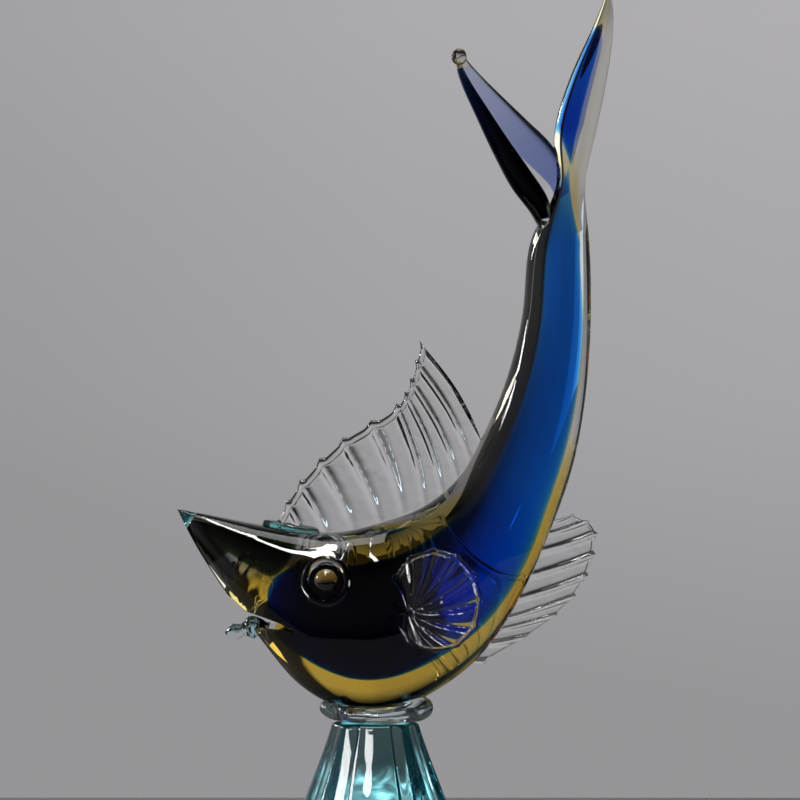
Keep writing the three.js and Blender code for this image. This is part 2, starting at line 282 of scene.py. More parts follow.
def end_spacing(count):
    """Places from 0 to 1, without the ends themselves, packed closely towards both ends."""
    return (1 - np.cos(np.pi * np.linspace(0, 1, count + 2)[1:-1])) / 2


def fuse(pieces):
    """Gives each face of clear glass that lies inside another of the pieces the matched skin."""
    trees = {}
    for piece in pieces:
        mesh = piece.data
        corners = [vertex.co for vertex in mesh.vertices]
        polygons = [tuple(polygon.vertices) for polygon in mesh.polygons]
        box = np.array(corners)
        trees[piece.name] = (BVHTree.FromPolygons(corners, polygons), box.min(0), box.max(0))
    for piece in pieces:
        mesh = piece.data
        mesh.materials.append(FUSED_GLASS)
        fused = len(mesh.materials) - 1
        centres = np.empty(len(mesh.polygons) * 3)
        mesh.polygons.foreach_get("center", centres)
        centres = centres.reshape(-1, 3)
        for other in pieces:
            if other is piece:
                continue
            tree, low, high = trees[other.name]
            for number in np.flatnonzero(((centres > low) & (centres < high)).all(axis=1)):
                centre = Vector(centres[number])
                place, normal, _, _ = tree.find_nearest(centre)
                if (centre - place).dot(normal) < 0:
                    mesh.polygons[number].material_index = fused


# ------------------------------------------------------------------------------------------------
# Materials

CLEAR_IOR = 1.5


def glass(name, ior=CLEAR_IOR, absorption=(1, 1, 1), density=0.0, ripple=0.0, ripple_scale=60.0):
    """Polished glass: its tint is in its depth, and ripple is how uneven its skin is."""
    material = bpy.data.materials.new(name)
    material.use_nodes = True
    tree = material.node_tree
    shader = tree.nodes["Principled BSDF"]
    shader.inputs["Base Color"].default_value = (1, 1, 1, 1)
    shader.inputs["Roughness"].default_value = 0.0
    shader.inputs["IOR"].default_value = ior
    shader.inputs["Transmission Weight"].default_value = 1.0
    if density:
        depth = tree.nodes.new("ShaderNodeVolumeAbsorption")
        depth.inputs["Color"].default_value = (*absorption, 1)
        depth.inputs["Density"].default_value = density
        tree.links.new(depth.outputs["Volume"], tree.nodes["Material Output"].inputs["Volume"])
    if ripple:
        place = tree.nodes.new("ShaderNodeTexCoord")
        waves = tree.nodes.new("ShaderNodeTexNoise")
        bump = tree.nodes.new("ShaderNodeBump")
        waves.inputs["Scale"].default_value = ripple_scale
        waves.inputs["Detail"].default_value = 1.0
        bump.inputs["Strength"].default_value = ripple
        bump.inputs["Distance"].default_value = 0.001
        tree.links.new(place.outputs["Object"], waves.inputs["Vector"])
        tree.links.new(waves.outputs["Fac"], bump.inputs["Height"])
        tree.links.new(bump.outputs["Normal"], shader.inputs["Normal"])
    return material


# Absorption is what is left of red, green and blue at each unit of density
WATER = (0.0, 0.80, 0.90)
SEA = (0.0, 0.84, 0.88)
GOLD = (0.98, 0.83, 0.08)
GREY = (0.4, 0.4, 0.5)

# Glass with a skin of its own
CASING_GLASS = glass("casing_glass", ripple=0.12, ripple_scale=30.0)
CLEAR_GLASS = glass("clear_glass", ripple=0.2, ripple_scale=120.0)
FIN_GLASS = glass("fin_glass", ripple=0.45, ripple_scale=170.0)
PECTORAL_GLASS = glass("pectoral_glass", ior=1.4, ripple=0.3, ripple_scale=120.0)
LIP_GLASS = glass(
    "lip_glass", absorption=(0.0, 0.75, 0.85), density=60.0, ripple=0.3, ripple_scale=150.0
)
COLLAR_GLASS = glass(
    "collar_glass", absorption=(0.1, 0.85, 0.92), density=3.0, ripple=0.6, ripple_scale=70.0
)
AQUAMARINE_GLASS = glass(
    "aquamarine_glass", absorption=WATER, density=15.0, ripple=0.2, ripple_scale=50.0
)
TEAL_GLASS = glass("teal_glass", absorption=SEA, density=160.0, ripple=0.2, ripple_scale=120.0)
# Clear glass inside clear glass: the skin of a joint that was fused hot, which can't be seen
FUSED_GLASS = glass("fused_glass", ior=1.0)

# Layers inside the casing, whose skins match the glass round them and so can't be seen either
TEAL_TINT = glass("teal_tint", ior=1.0, absorption=SEA, density=120.0)
AMBER_GLASS = glass("amber_glass", ior=1.0, absorption=GOLD, density=110.0)
AMBER_TIP = glass("amber_tip", ior=1.0, absorption=(0.98, 0.85, 0.45), density=420.0)
AMBER_DEEP = glass("amber_deep", ior=1.0, absorption=(0.97, 0.8, 0.1), density=110.0)
COBALT_GLASS = glass("cobalt_glass", ior=1.0, absorption=(0.0, 0.6, 0.945), density=430.0)
# Painted shade: grey glass that darkens the head's core, standing in for the dark the clear head shows
# by refraction
HEAD_SHADE_GLASS = glass("head_shade_glass", ior=1.0, absorption=GREY, density=420.0)
# Painted shade: very dark glass in the rear lobe and in the front lobe's band, where the clear glass
# shows only dark room
DEEP_SHADE_GLASS = glass("deep_shade_glass", ior=1.0, absorption=GREY, density=1100.0)
# Painted shade: dark olive glass in the beak, where the clear glass shows only dark room
BEAK_SHADE_GLASS = glass("beak_shade_glass", ior=1.0, absorption=(0.4, 0.5, 0.3), density=260.0)
VEIL_GLASS = glass("veil_glass", ior=1.0, absorption=(0.0, 0.2, 0.8), density=360.0)
# and one whose crumpled skin just shows
AMBER_FOLD = glass(
    "amber_fold",
    ior=1.03,
    absorption=(0.985, 0.86, 0.08),
    density=100.0,
    ripple=0.35,
    ripple_scale=200.0,
)


def pupil_glass():
    """A bead painted amber above and nearly black below, under a polished skin: a painted reflection of
    what a clear bead shows by refraction.
    """
    material = bpy.data.materials.new("pupil_glass")
    material.use_nodes = True
    tree = material.node_tree
    shader = tree.nodes["Principled BSDF"]
    place = tree.nodes.new("ShaderNodeTexCoord")
    split = tree.nodes.new("ShaderNodeSeparateXYZ")
    # Painted reflection: nearly black low in the bead and amber high in it
    ramp = tree.nodes.new("ShaderNodeValToRGB")
    ramp.color_ramp.elements[0].position = 0.45
    ramp.color_ramp.elements[0].color = (0.004, 0.004, 0.012, 1)
    ramp.color_ramp.elements[1].position = 0.62
    ramp.color_ramp.elements[1].color = (0.32, 0.2, 0.04, 1)
    tree.links.new(place.outputs["Generated"], split.inputs["Vector"])
    tree.links.new(split.outputs["Z"], ramp.inputs["Fac"])
    tree.links.new(ramp.outputs["Color"], shader.inputs["Base Color"])
    shader.inputs["Roughness"].default_value = 0.03
    shader.inputs["Coat Weight"].default_value = 1.0
    return material


PUPIL_GLASS = pupil_glass()

# ------------------------------------------------------------------------------------------------
# Foot and collar

FOOT_LOBES = 8
FOOT_SWELL = 0.06
FOOT_WOBBLE = 0.015
FOOT_FLARE = 1.12


def foot():
    low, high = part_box("foot")
    height = (high.z - low.z) / MM
    base = (high.x - low.x) / 2 / MM / (1 + FOOT_SWELL)
    top = 19.0
    rise = np.linspace(0, 1, 90)
    radius = top + (base - top) * (1 - rise) ** FOOT_FLARE
    edge = 2.0
    z = rise * height
    rounding = np.clip(np.minimum(z, height - z) / edge, 0, 1)
    radius = radius - edge * (1 - np.sqrt(1 - (1 - rounding) ** 2))
    angle = np.linspace(0, 2 * np.pi, 256, endpoint=False)
    lobe = np.sqrt(np.cos(FOOT_LOBES / 2 * angle) ** 2 + 0.01)
    swell = 1 + FOOT_SWELL * (2 * lobe - 1) + FOOT_WOBBLE * np.cos(3 * angle + 1.0)
    across = radius[:, None] * swell[None, :]
    height_of_ring = np.broadcast_to(z[:, None], across.shape)
    rings = np.stack([across * np.cos(angle), across * np.sin(angle), height_of_ring], axis=-1)
    add_piece("foot_block", [closed_tube(rings)], [AQUAMARINE_GLASS], ["foot"])


def bump_at(angle, centre, width):
    """A smooth bump of height 1 round the ring, centred on an angle in radians."""
    away = (angle - centre + np.pi) % (2 * np.pi) - np.pi
    return np.exp(-((away / width) ** 2))


def collar():
    """A trailed ring, laid on unevenly: thick and low in front, with a loop on the right."""
    low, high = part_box("collar")
    height = (high.z - low.z) / MM
    turn = np.linspace(-np.pi / 2, np.pi / 2, 40)
    angle = np.linspace(0, 2 * np.pi, 300, endpoint=False)
    core = 19.0
    right = bump_at(angle, -0.15, 0.5)
    left = bump_at(angle, np.pi + 0.1, 0.22)
    front = bump_at(angle, -1.6, 0.9)
    waves = 0.7 * np.cos(9 * angle) * (1 + np.sin(2 * angle))
    reach = 3.8 + 4.2 * right + 3.8 * left + 1.2 * front + waves
    half = height / 2 * (0.8 + 0.35 * right + 0.1 * np.cos(2 * angle + 0.6))
    centre = low.z / MM + height / 2 + 1.3 * right + 1.5 * left - 1.2 * front
    r = core + reach[None, :] * np.cos(turn)[:, None] ** 0.8
    z = centre[None, :] + half[None, :] * np.sin(turn)[:, None]
    rings = np.stack([r * np.cos(angle), r * np.sin(angle), z], axis=-1)
    add_piece("collar_ring", [closed_tube(rings)], [COLLAR_GLASS], ["collar"])


# ------------------------------------------------------------------------------------------------
# Body and tail

# The notch between the beak and the lower jaw: its upper line to the corner, and its lower line back
MOUTH = [
    (-74, 126.5),
    (-67, 122.5),
    (-60.5, 117.2),
    (-52, 114.4),
    (-44, 111.6),
    (-37.5, 108.4),
    (-44, 108.8),
    (-52, 109.2),
    (-60, 107.5),
    (-74, 104),
]


TIP_END, CASING_START = 0.034, 0.035  # along the body, with a hair between them


def flat_solid(outline, half_width):
    """(vertices in metres, faces) of a flat body with an outline in the XZ plane."""
    count = len(outline)
    near = [(x, -half_width, z) for x, z in outline]
    far = [(x, half_width, z) for x, z in outline]
    faces = [tuple(range(count)), tuple(range(2 * count - 1, count - 1, -1))]
    faces += [(i, (i + 1) % count, count + (i + 1) % count, count + i) for i in range(count)]
    return np.array(near + far) * MM, faces


def casing():
    t = np.linspace(CASING_START, 1, 420)[:-1]
    rings = BODY.rings(t, 120)
    piece = add_piece("casing", [closed_tube(rings)], [CASING_GLASS], ["body_casing"])
    mouth = smooth_curve(MOUTH, np.linspace(0, 1, 60))
    cut_from(piece, flat_solid(mouth.tolist(), half_width=40))
    return piece


def cut_from(piece, part):
    """Takes a closed part out of a piece."""
    mesh = bpy.data.meshes.new("cutter")
    mesh.from_pydata(part[0].tolist(), [], part[1])
    cutter = bpy.data.objects.new("cutter", mesh)
    bpy.context.scene.collection.objects.link(cutter)
    cut = piece.modifiers.new("cut", "BOOLEAN")
    cut.operation = "DIFFERENCE"
    cut.solver = "EXACT"
    cut.object = cutter
    depsgraph = bpy.context.evaluated_depsgraph_get()
    piece.data = bpy.data.meshes.new_from_object(piece.evaluated_get(depsgraph))
    piece.modifiers.clear()
    bpy.data.objects.remove(cutter)
    bpy.data.meshes.remove(mesh)


def beak_tip():
    t = np.linspace(0, TIP_END, 40)[1:]
    rings = BODY.rings(t, 80)
    add_piece("beak_end", [closed_tube(rings)], [TEAL_GLASS], ["beak_tip"])


# How much of the body's width and thickness the cobalt fills, and how far it leans to the back line
COBALT_SPAN = (0.165, 0.775)
COBALT_SHARE = [
    (0.165, 0.5),
    (0.3, 0.53),
    (0.42, 0.5),
    (0.56, 0.45),
    (0.68, 0.43),
    (0.72, 0.5),
    (0.77, 0.6),
]
COBALT_DEPTH = [
    (0.165, 0.5),
    (0.32, 0.48),
    (0.42, 0.3),
    (0.5, 0.24),
    (0.56, 0.27),
    (0.625, 0.33),
    (0.7, 0.42),
    (0.78, 0.45),
]
COBALT_LEAN = [
    (0.165, -0.12),
    (0.3, -0.02),
    (0.5, -0.02),
    (0.56, -0.03),
    (0.64, -0.08),
    (0.69, -0.05),
    (0.75, 0.2),
]
COBALT_SQUARENESS = [(0.165, 3.0), (0.35, 3.0), (0.5, 3.6), (0.8, 3.6)]
# The amber's margins round the cobalt, as shares of half the body's width and thickness
AMBER_SPAN = (0.14, 0.80)
AMBER_ABOVE = [
    (0.14, -0.4),
    (0.155, -0.35),
    (0.163, 0.03),
    (0.246, 0.03),
    (0.256, 0.25),
    (0.42, 0.2),
    (0.48, 0.025),
    (1, 0.025),
]
AMBER_BELOW = [
    (0.14, 0.1),
    (0.184, 0.03),
    (0.2, 0.2),
    (0.24, 0.27),
    (0.3, 0.3),
    (0.42, 0.26),
    (0.52, 0.14),
    (0.57, 0.03),
    (1, 0.025),
]
AMBER_WALL = 0.02
# Painted shade in the beak: dark olive glass that stands in for the dark the clear beak shows by
# refraction
BEAK_SHADE_SPAN = (0.036, 0.168)
BEAK_SHADE_SHARE = [(0.036, 0.85), (0.095, 0.85), (0.107, 0.48), (0.168, 0.42)]
BEAK_SHADE_LEAN = [(0.036, 0.0), (0.095, 0.0), (0.107, 0.35), (0.168, 0.32)]
TAIL_WEDGE_SPAN = (0.772, 0.935)
TAIL_AMBER_SPAN = (0.925, 0.985)
TAIL_SHEET_SPAN = (0.76, 0.95)
# Painted shade in the rear lobe
TAIL_SHADE_SPAN = (0.872, 0.938)
TINT_SPAN = (0.32, 0.43)
FLANK_SPAN = (0.41, 0.57)
# Painted shade in the head
HEAD_SHADE_SPAN = (0.169, 0.372)
SKIN = 0.12  # millimetres between the cobalt and the amber round it


def span(limits, count):
    """Places s from 0 to 1 along a layer, and the same places t along the body."""
    s = end_spacing(count)
    return s, limits[0] + (limits[1] - limits[0]) * s


def swollen(rings, grow):
    """The rings made grow millimetres wider all round."""
    middle = rings.mean(axis=1, keepdims=True)
    radius = np.linalg.norm(rings - middle, axis=-1, keepdims=True)
    return middle + (rings - middle) * (1 + grow / np.maximum(radius, grow))


def cobalt_rings():
    s, t = span(COBALT_SPAN, 260)
    spear = np.clip((1 - s) / 0.14, 0, 1) ** 0.8
    share = along(COBALT_SHARE, t) * dome(s, 14) * spear
    deep = along(COBALT_DEPTH, t) * dome(s, 30) * spear**0.5
    lean, squareness = along(COBALT_LEAN, t), along(COBALT_SQUARENESS, t)
    return BODY.rings(t, 96, share=share, lean=lean, deep=deep, squareness=squareness)


def lump(centre, radii, crumple, grain):
    """Rings of an ellipsoid that noise has crumpled, in millimetres."""
    count, around = 60, 72
    angle = np.linspace(0, 2 * np.pi, around, endpoint=False)
    rings = np.empty((count, around, 3))
    for i, place in enumerate(end_spacing(count)):
        along_x, out = -math.cos(math.pi * place), math.sin(math.pi * place)
        for j, turn in enumerate(angle):
            way = Vector((along_x, out * math.cos(turn), out * math.sin(turn)))
            fold = 1 + crumple * noise.noise(way * grain)
            rings[i, j] = [centre[k] + radii[k] * way[k] * fold for k in range(3)]
    return rings


def amber():
    """The amber gather round the cobalt, with the amber of the rear lobe and of the beak's fold."""
    s, t = span(AMBER_SPAN, 300)
    above, below = along(AMBER_ABOVE, t), along(AMBER_BELOW, t)
    share = along(COBALT_SHARE, t) + (above + below) / 2
    lean = along(COBALT_LEAN, t) + (above - below) / 2
    deep = along(COBALT_DEPTH, t) + AMBER_WALL
    squareness = along(COBALT_SQUARENESS, t)
    open_up = dome(s, 14)
    gather = BODY.rings(t, 96, share * open_up, lean, deep * open_up, squareness)
    s, t = span(TAIL_AMBER_SPAN, 60)
    tip = BODY.rings(t, 48, share=0.62 * dome(s, 3), lean=0.1, deep=0.8 * dome(s, 3))
    s, t = span(TAIL_SHEET_SPAN, 60)
    sheet = BODY.rings(t, 48, share=0.42 * dome(s, 8), lean=-0.5, deep=0.09, squareness=4)
    fold = lump((-57, -4, 129.5), (9, 7.5, 12.5), 0.42, 2.6)
    s, t = span(TINT_SPAN, 60)
    tint = BODY.rings(t, 48, share=0.05 * dome(s, 3), lean=-0.42, deep=0.35 * dome(s, 3))
    s, t = span(FLANK_SPAN, 80)
    flank = BODY.rings(t, 48, share=0.12 * dome(s, 4), lean=-0.68, deep=0.4 * dome(s, 4))
    hollow = swollen(cobalt_rings(), SKIN)
    parts = [closed_tube(rings) for rings in (tip, fold, sheet, flank, tint, gather, hollow)]
    materials = [AMBER_GLASS, AMBER_FOLD, AMBER_GLASS, AMBER_DEEP, TEAL_TINT, AMBER_GLASS]
    add_piece("amber_gather", parts, materials, ["amber_layer"], inside=1)


def cobalt():
    """The cobalt core and the wedge of the rear lobe, with painted shade: dark glass in the head, the
    beak and the rear lobe that stands in for the dark the clear glass shows there.
    """
    s, t = span(TAIL_WEDGE_SPAN, 90)
    open_up = np.minimum(1, s / 0.3) * np.minimum(1, (1 - s) / 0.12) ** 0.5
    lean = np.interp(s, [0, 0.3, 0.8, 1], [0.1, 0.3, 0.3, 0.45])
    thick = open_up**0.5
    wedge = BODY.rings(t, 64, 0.4 * open_up, lean, deep=0.75 * thick, squareness=3.4)
    veil = BODY.rings(t, 64, 0.5 * open_up, lean - 0.12, deep=0.3 * thick, squareness=3.4)
    # Painted shade: dark grey glass in the head
    s, t = span(HEAD_SHADE_SPAN, 110)
    share = (along(COBALT_SHARE, t) - 0.008) * dome(s, 14)
    head_shade = BODY.rings(t, 64, share, along(COBALT_LEAN, t), deep=0.4 * dome(s, 3), squareness=3)
    # Painted shade: dark glass inside the beak
    s, t = span(BEAK_SHADE_SPAN, 80)
    share, lean = along(BEAK_SHADE_SHARE, t) * dome(s, 14), along(BEAK_SHADE_LEAN, t)
    beak_shade = BODY.rings(t, 64, share=share, lean=lean, deep=0.7 * dome(s, 14))
    # Painted shade: very dark glass at the rear lobe's left edge
    s, t = span(TAIL_SHADE_SPAN, 60)
    share = np.interp(s, [0, 0.7], [0.06, 0.25]) * dome(s, 6)
    lean = np.interp(s, [0, 0.7], [0.38, 0.22])
    shade = BODY.rings(t, 48, share=share, lean=lean, deep=0.5 * dome(s, 6), squareness=3)
    parts = [closed_tube(rings) for rings in (cobalt_rings(), wedge, veil, head_shade, beak_shade, shade)]
    materials = [COBALT_GLASS, COBALT_GLASS, VEIL_GLASS, HEAD_SHADE_GLASS, BEAK_SHADE_GLASS, DEEP_SHADE_GLASS]
    add_piece("cobalt_gather", parts, materials, ["cobalt_core"])


def blade_rings(t, around, ridge, web, inset=0.0, reach=(-1.0, 1.0)):
    """Rings of the front tail lobe: a thick round leading edge that thins into a flat web.

    ridge and web are half thicknesses as shares of the lobe's own, inset draws the whole section in
    by millimetres, and reach is the part of the width that is filled, from -1 at the leading edge.
    """
    back, belly, depth = LOBE.at(LOBE.back, t), LOBE.at(LOBE.belly, t), LOBE.at(LOBE.depth, t)
    angle = np.linspace(0, 2 * np.pi, around, endpoint=False)
    w = -np.cos(angle)
    first, last = (np.broadcast_to(limit, t.shape)[:, None] for limit in reach)
    filled = first + (w + 1)[None, :] / 2 * (last - first)
    thick = ridge * np.sqrt(np.clip(1 - ((filled + 0.58) / 0.42) ** 2, 0, 1))
    flat = np.reshape(web, (-1, 1)) * np.sqrt(np.clip(1 - np.abs(filled) ** 12, 0, 1))
    closing = np.sqrt(np.clip(1 - np.abs(w) ** 16, 0, 1))
    half = np.hypot(thick, flat) * depth - inset
    half = np.maximum(half, 0.02) * closing * np.sign(np.sin(angle))
    width = np.linalg.norm(belly - back, axis=1)[:, None]
    place = 0.5 + 0.5 * filled * np.clip(1 - 2 * inset / width, 0.05, 1)
    plane = back[:, None] + (belly - back)[:, None] * place[..., None]
    forward = np.interp(t, [0.0, 0.25, 0.5], [1.5, 1.5, 0.0])[:, None]
    return np.stack([plane[..., 0], -half - forward, plane[..., 1]], axis=-1)


def front_lobe():
    """The clear blade of the front lobe, which joins the stem's glass."""
    t = np.linspace(0.06, 0.93, 150)
    blade = closed_tube(blade_rings(t, 160, 1.0, np.interp(t, [0.0, 0.2, 0.6], [0.7, 0.7, 0.42])))
    return add_piece("front_lobe", [blade], [CASING_GLASS], ["tail_lobe_front"])


def front_lobe_core():
    """A dark cobalt band along the leading edge and a lilac veil in the web, with clear between. Inside
    the band lies painted shade, very dark glass that darkens it further where the clear edge shows dark
    room.
    """
    t = np.linspace(0.1, 0.86, 120)
    band = blade_rings(t, 96, 1.0, 0.2, inset=0.6, reach=(-0.97, -0.18))
    # Painted shade: very dark glass inside the cobalt band
    band_shade = blade_rings(t, 96, 1.0, 0.12, inset=0.75, reach=(-0.95, -0.24))
    slit = np.interp(t, [0.1, 0.2, 0.3, 0.42], [0.2, 0.16, 0.02, -0.16])
    web = blade_rings(t, 120, 0.2, 0.3, inset=0.4, reach=(slit, 1.0))
    parts = [closed_tube(rings) for rings in (band, web, band_shade)]
    materials = [COBALT_GLASS, VEIL_GLASS, DEEP_SHADE_GLASS]
    add_piece("front_lobe_core", parts, materials, ["tail_lobe_front_core"])


def front_lobe_bead():
    bead = lump((39.6, 0, 376.3), (3.6, 3.3, 3.9), 0.08, 1.5)
    patch = blade_rings(np.linspace(0.865, 0.925, 20), 64, 0.9, 0.35, inset=0.35)
    parts, materials = [closed_tube(bead), closed_tube(patch)], [CLEAR_GLASS, AMBER_TIP]
    add_piece("front_lobe_bead", parts, materials, ["tail_bead_front"])


# ------------------------------------------------------------------------------------------------
# Fins


FIN_WEB = 1.2  # millimetres of glass between the ribs
RIB_WIDTH = 0.15  # of the space from rib to rib


def ribbed_sheet(root, edge, bow, ribs, web, rib, rim, saw, fade, steps=18):
    """Rings of a thin glass sheet with narrow ribs that run from its root out to a beaded rim.

    root and edge are lines of (x, z). Each rib is rib high at the rim and fade of that at the root.
    """
    u = np.linspace(0, 1, ribs * steps + 1)
    v = np.concatenate([np.linspace(0, 0.86, 24)[:-1], np.linspace(0.86, 1, 16)])
    phase = (u * ribs + 0.5) % 1 - 0.5
    ridge = np.exp(-((phase / RIB_WIDTH) ** 2))
    foot_line, rim_line = smooth_curve(root, u), smooth_curve(edge, u)
    outwards = rim_line - foot_line
    length = np.linalg.norm(outwards, axis=1)[:, None]
    outwards /= length
    aside = np.column_stack([outwards[:, 1], -outwards[:, 0]])
    plane = foot_line[:, None] * (1 - v)[None, :, None] + rim_line[:, None] * v[None, :, None]
    sideways = (bow[0] + (bow[1] - bow[0]) * u)[:, None] * np.sin(np.pi * v)[None, :]
    plane = plane + aside[:, None] * sideways[..., None]
    plane = plane + outwards[:, None] * (ridge * saw)[:, None, None] * v[None, :, None] ** 4
    rolled = np.exp(-(((1 - v[None, :]) * length / (1.2 * rim)) ** 2))
    strength = fade + (1 - fade) * np.sin(np.pi / 2 * v) ** 1.5
    half = web / 2 + rib * ridge[:, None] * strength[None, :]
    half = np.maximum(half, rim * rolled * (1 + 0.5 * ridge[:, None]))
    near = np.stack([plane[..., 0], -half, plane[..., 1]], axis=-1)
    far = np.stack([plane[..., 0], half, plane[..., 1]], axis=-1)
    turn = np.linspace(0, np.pi, 10)[1:-1]
    reach = half[:, -1:]
    cap = plane[:, -1:] + outwards[:, None] * (reach * np.sin(turn))[..., None]
    rounded = np.stack([cap[..., 0], -reach * np.cos(turn), cap[..., 1]], axis=-1)
    return np.concatenate([near, rounded, far[:, ::-1]], axis=1)


def dorsal_fin():
    rings = ribbed_sheet(
        DORSAL_ROOT, DORSAL_EDGE, (1, 3), 10, web=FIN_WEB, rib=1.1, rim=1.7, saw=1.2, fade=0.1
    )
    sheet = closed_tube(rings)
    return add_piece("dorsal_fin_glass", [sheet], [FIN_GLASS], ["dorsal_fin"])


def anal_fin():
    rings = ribbed_sheet(
        ANAL_ROOT, ANAL_EDGE, (0.5, 0.5), 8, web=FIN_WEB, rib=1.0, rim=0.9, saw=0.8, fade=0.4
    )
    sheet = closed_tube(rings)
    return add_piece("anal_fin_glass", [sheet], [FIN_GLASS], ["anal_fin"])


PECTORAL_ROOT, PECTORAL_MIDDLE, PECTORAL_RADIUS = (16.5, 117.5), (29, 123.5), 22.5
PECTORAL_FAN = 2.75  # radians that the ribs spread to each side of straight back
PECTORAL_HEEL = 1.5
PECTORAL_OPENING = math.radians(24)  # between the fin and the flank
PECTORAL_PLACE = 0.36  # of the root, along the body
PECTORAL_STAND_OFF = 1.0


def pectoral_fin(name, side, node):
    """A round fin whose ribs fan out of a point near its own lower front edge.

    Side is 1 on the near flank and -1 on the far one.
    """
    root, opening = PECTORAL_ROOT, PECTORAL_OPENING
    angle = np.linspace(1, -1, 9) * PECTORAL_FAN
    way = np.column_stack([np.cos(angle), np.sin(angle)])
    inner = way * PECTORAL_HEEL
    outer = way * PECTORAL_RADIUS + np.array(PECTORAL_MIDDLE) - np.array(root)
    rings = ribbed_sheet(
        inner, outer, (1.5, 1.5), 10, web=FIN_WEB, rib=0.8, rim=1.3, saw=0.5, fade=0.1
    )
    x, y, z = rings[..., 0], rings[..., 1], rings[..., 2]
    turned_x = x * math.cos(opening) + y * math.sin(opening)
    turned_y = -x * math.sin(opening) + y * math.cos(opening)
    flank = BODY.at(BODY.depth, np.array([PECTORAL_PLACE]))[0, 0]
    off_flank = (turned_y - PECTORAL_STAND_OFF - flank) * side
    rings = np.stack([turned_x + root[0], off_flank, z + root[1]], axis=-1)
    return add_piece(name, [closed_tube(rings)], [PECTORAL_GLASS], [node])


# ------------------------------------------------------------------------------------------------
# Head


def round_tube(path, radii, around=20):
    """Rings of a round tube along a 3-D path of points."""
    path = np.asarray(path, float)
    tangent = np.gradient(path, axis=0)
    tangent /= np.linalg.norm(tangent, axis=1)[:, None]
    side = np.cross(tangent, [0.02, 0.05, 1.0])
    side /= np.linalg.norm(side, axis=1)[:, None]
    up = np.cross(side, tangent)
    angle = np.linspace(0, 2 * np.pi, around, endpoint=False)
    spread = side[:, None] * np.cos(angle)[None, :, None] + up[:, None] * np.sin(angle)[None, :, None]
    return path[:, None] + spread * np.asarray(radii, float)[:, None, None]


def eye_seat(side):
    """The middle of an eye on the flank, in millimetres, and the way straight out of the glass."""
    seat_t, seat_angle, step = 0.222, 1.24, 0.005

    def place(t, angle):
        back, belly = BODY.at(BODY.back, np.array([t]))[0], BODY.at(BODY.belly, np.array([t]))[0]
        depth = BODY.at(BODY.depth, np.array([t]))[0, 0]
        plane = (back + belly) / 2 + (back - belly) / 2 * math.cos(angle)
        height = section_height(math.cos(angle), along(BODY_SQUARENESS, t))
        return Vector((plane[0], -depth * height, plane[1]))

    seat = place(seat_t, seat_angle)
    aside = place(seat_t, seat_angle - step) - seat
    outwards = aside.cross(place(seat_t + step, seat_angle) - seat).normalized()
    if side < 0:
        return seat, outwards
    return Vector((seat.x, -seat.y, seat.z)), Vector((outwards.x, -outwards.y, outwards.z))


def ring_of_glass(radius, thread):
    """(points, faces) of a thread laid in a ring, in the plane of the eye's seat."""
    count, around = 96, 24
    turn = np.linspace(0, 2 * np.pi, count + 1)[:-1][:, None]
    tube = np.linspace(0, 2 * np.pi, around, endpoint=False)[None, :]
    r = radius + thread * np.cos(tube)
    height = np.broadcast_to(EYE_FLATNESS * thread * np.sin(tube), (count, around))
    points = np.stack([np.cos(turn) * r, np.sin(turn) * r, height], axis=-1)
    faces = []
    for i in range(count):
        here, there = i * around, (i + 1) % count * around
        for j in range(around):
            k = (j + 1) % around
            faces.append((here + j, here + k, there + k, there + j))
    return points, faces


def bead_rings(radius, flatness):
    """Rings of a flattened bead, whose axis stands on the eye's seat."""
    count, around = 40, 48
    s = end_spacing(count)
    r = radius * np.sin(np.pi * s)
    height = np.broadcast_to(-radius * flatness * np.cos(np.pi * s)[:, None], (count, around))
    angle = np.linspace(0, 2 * np.pi, around, endpoint=False)
    return np.stack([r[:, None] * np.cos(angle), r[:, None] * np.sin(angle), height], axis=-1)


EYE_RING_RADIUS = 10.0
EYE_THREAD_RADIUS = 2.0
EYE_FLATNESS = 0.9
PUPIL_RADIUS = 5.6
PUPIL_FLATNESS = 0.85


def eye(label, side):
    """A bead on the flank with a clear thread laid round it. Side is -1 on the near flank."""
    seat, outwards = eye_seat(side)
    aside = outwards.cross(Vector((0, 0, 1))).normalized()
    basis = np.array([aside, aside.cross(outwards), outwards])
    points, faces = ring_of_glass(EYE_RING_RADIUS, EYE_THREAD_RADIUS)
    ring = ((points @ basis + np.array(seat)).reshape(-1, 3) * MM, faces)
    bead = closed_tube(bead_rings(PUPIL_RADIUS, PUPIL_FLATNESS) @ basis + np.array(seat))
    add_piece("pupil_bead_" + label, [bead], [PUPIL_GLASS], ["pupil_" + label])
    return add_piece("eye_thread_" + label, [ring], [CLEAR_GLASS], ["eye_ring_" + label])


def lower_lip():
    """Two beads drawn out of one thread, on the point of the lower jaw."""
    share = end_spacing(120)
    path = [(-70.5, 0, 105.5), (-65.5, 0, 106.2), (-60.5, 0, 107.6), (-56, 0, 108.4), (-47, 0, 105.5)]
    line = smooth_curve(path, share)
    knots = np.interp(share, [0, 0.2, 0.42, 0.64, 1], [2.6, 4.9, 2.4, 6.0, 3.5])
    rings = round_tube(line, ease(knots, 40) * dome(share, 3), 40)
    return add_piece("lip_beads", [closed_tube(rings)], [LIP_GLASS], ["lower_lip"])


